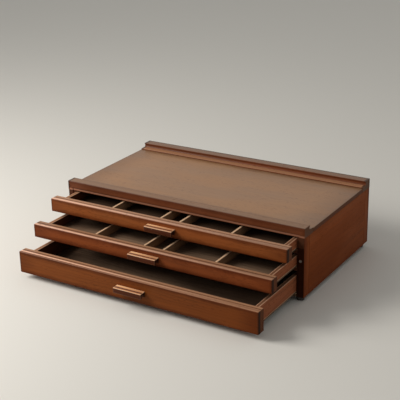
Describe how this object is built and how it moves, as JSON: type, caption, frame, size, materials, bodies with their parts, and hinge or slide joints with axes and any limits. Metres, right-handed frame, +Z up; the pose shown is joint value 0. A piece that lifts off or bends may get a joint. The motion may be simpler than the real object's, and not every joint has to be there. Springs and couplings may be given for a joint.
{
  "type": "art supply storage box",
  "caption": "Low wooden desktop chest for art supplies: stained frame-and-panel case on rubber feet with shallow overlay drawers, small bar handles and divided trays",
  "frame": {"origin": "Middle of the whole footprint in the pose of the picture, with its drawers standing out of the case, on the plane that the feet stand on. The case's own middle is 68.2 mm behind it, at Y = +0.0682.", "axes": "+Z up. +X along the width, to the right of someone who faces the drawers. The drawers are at the front, towards -Y, and pull along -Y."},
  "size_m": [0.4, 0.3604, 0.1106],
  "materials": {
    "frame_wood": "walnut stain, satin varnish",
    "panel_wood": "walnut stain, satin varnish",
    "front_wood": "walnut stain, satin varnish",
    "handle_wood": "walnut stain, satin varnish",
    "drawer_wood": "walnut stain, thin matt varnish",
    "divider_wood": "pale stained strip, matt",
    "inner_wood": "dark stained plywood, matt",
    "dowel_wood": "bare beech",
    "rubber": "matt black",
    "screw_steel": "zinc plated"
  },
  "bodies": {
    "case": {"front_rail": "frame_wood", "rear_rail": "frame_wood", "front_stile_left": "frame_wood", "front_stile_right": "frame_wood", "rear_post_left": "frame_wood", "rear_post_right": "frame_wood", "side_panel_left": "panel_wood", "side_panel_right": "panel_wood", "top_panel": "panel_wood", "bottom_panel": "inner_wood", "back_panel": "inner_wood", "runner_upper_left": "inner_wood", "runner_upper_right": "inner_wood", "runner_lower_left": "inner_wood", "runner_lower_right": "inner_wood", "foot_front_left": "rubber", "foot_front_right": "rubber", "foot_rear_left": "rubber", "foot_rear_right": "rubber", "foot_screws": "screw_steel", "stile_screws": "screw_steel", "rail_dowels": "dowel_wood", "side_dowels": "dowel_wood"},
    "top_drawer": {"top_drawer_front": "front_wood", "top_drawer_box_front": "drawer_wood", "top_drawer_side_left": "drawer_wood", "top_drawer_side_right": "drawer_wood", "top_drawer_back": "drawer_wood", "top_drawer_floor": "inner_wood", "top_handle": "handle_wood", "top_handle_screws": "screw_steel", "top_front_screws": "screw_steel", "top_divider_outer_left": "divider_wood", "top_divider_inner_left": "divider_wood", "top_divider_inner_right": "divider_wood", "top_divider_outer_right": "divider_wood"},
    "middle_drawer": {"middle_drawer_front": "front_wood", "middle_drawer_box_front": "drawer_wood", "middle_drawer_side_left": "drawer_wood", "middle_drawer_side_right": "drawer_wood", "middle_drawer_back": "drawer_wood", "middle_drawer_floor": "inner_wood", "middle_handle": "handle_wood", "middle_handle_screws": "screw_steel", "middle_front_screws": "screw_steel", "middle_divider_outer_left": "divider_wood", "middle_divider_inner_left": "divider_wood", "middle_divider_inner_right": "divider_wood", "middle_divider_outer_right": "divider_wood"},
    "bottom_drawer": {"bottom_drawer_front": "front_wood", "bottom_drawer_box_front": "drawer_wood", "bottom_drawer_side_left": "drawer_wood", "bottom_drawer_side_right": "drawer_wood", "bottom_drawer_back": "drawer_wood", "bottom_drawer_floor": "inner_wood", "bottom_handle": "handle_wood", "bottom_handle_screws": "screw_steel", "bottom_front_screws": "screw_steel"}
  },
  "joints": [
    {"name": "top_drawer_slide", "type": "slide", "parent": "case", "child": "top_drawer", "axis": [0, -1, 0], "range_m": [-0.0312, 0.1288]},
    {"name": "middle_drawer_slide", "type": "slide", "parent": "case", "child": "middle_drawer", "axis": [0, -1, 0], "range_m": [-0.074, 0.086]},
    {"name": "bottom_drawer_slide", "type": "slide", "parent": "case", "child": "bottom_drawer", "axis": [0, -1, 0], "range_m": [-0.1106, 0.0494]}
  ]
}
